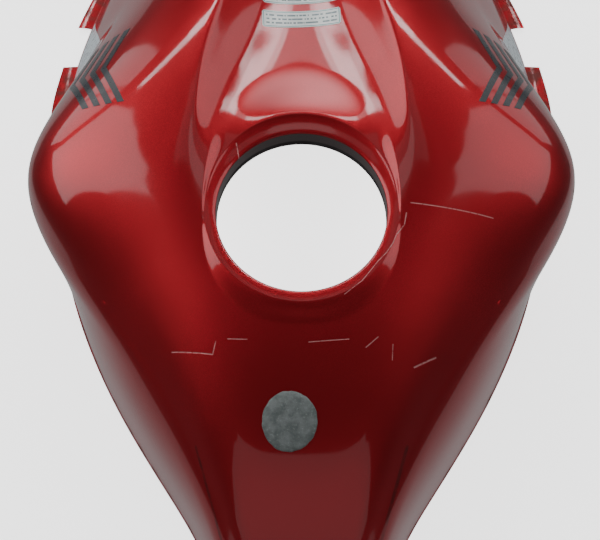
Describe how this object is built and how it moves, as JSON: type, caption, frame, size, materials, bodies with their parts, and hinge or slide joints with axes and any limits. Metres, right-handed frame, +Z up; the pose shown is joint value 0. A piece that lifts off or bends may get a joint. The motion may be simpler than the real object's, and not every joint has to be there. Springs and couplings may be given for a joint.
{
  "type": "motorcycle fuel tank cover",
  "caption": "Moulded sport motorcycle fuel tank cover with an open filler hole, knee recesses, labels, decals, seals and mounting hardware.",
  "frame": {"origin": "centre of the filler opening's edge", "axes": "+Y points to the front of the motorcycle, +X to the rider's right, +Z up; the lower edge of the shell is flat at z = -160 mm"},
  "size_m": [0.4162, 0.5452, 0.1749],
  "materials": {
    "painted_shell": "gloss red paint with clear coat on moulded plastic",
    "black_rubber": "matte moulded rubber",
    "label_film": "pale vinyl label with a thin border",
    "dark_decal": "dark grey vinyl film",
    "pale_decal": "pale silver vinyl film",
    "grey_foam": "closed-cell foam pad",
    "foil_mat": "foil-faced insulation",
    "zinc_steel": "zinc plated steel",
    "black_nylon": "moulded nylon"
  },
  "bodies": {
    "cover": {"cover_shell": "painted_shell", "filler_seal": "black_rubber", "fuel_label": "label_film", "info_label": "label_film", "rear_pad": "grey_foam", "heat_mat": "foil_mat", "rear_grommet": "black_rubber", "rear_collar": "zinc_steel", "left_chevron_decal": "dark_decal", "left_flank_decal": "pale_decal", "left_flank_foam": "grey_foam", "left_front_cushion": "black_rubber", "left_front_grommet": "black_rubber", "left_front_collar": "zinc_steel", "left_clip_body": "black_nylon", "left_clip_nut": "zinc_steel", "right_chevron_decal": "dark_decal", "right_flank_decal": "pale_decal", "right_flank_foam": "grey_foam", "right_front_cushion": "black_rubber", "right_front_grommet": "black_rubber", "right_front_collar": "zinc_steel", "right_clip_body": "black_nylon", "right_clip_nut": "zinc_steel"},
    "left_clip_pin": {"left_clip_pin": "black_nylon"},
    "right_clip_pin": {"right_clip_pin": "black_nylon"}
  },
  "joints": [
    {"name": "left_pin_slide", "type": "slide", "parent": "cover", "child": "left_clip_pin", "axis": [0, 1, 0], "range_m": [-0.0025, 0.006]},
    {"name": "right_pin_slide", "type": "slide", "parent": "cover", "child": "right_clip_pin", "axis": [0, 1, 0], "range_m": [-0.0025, 0.006]}
  ]
}
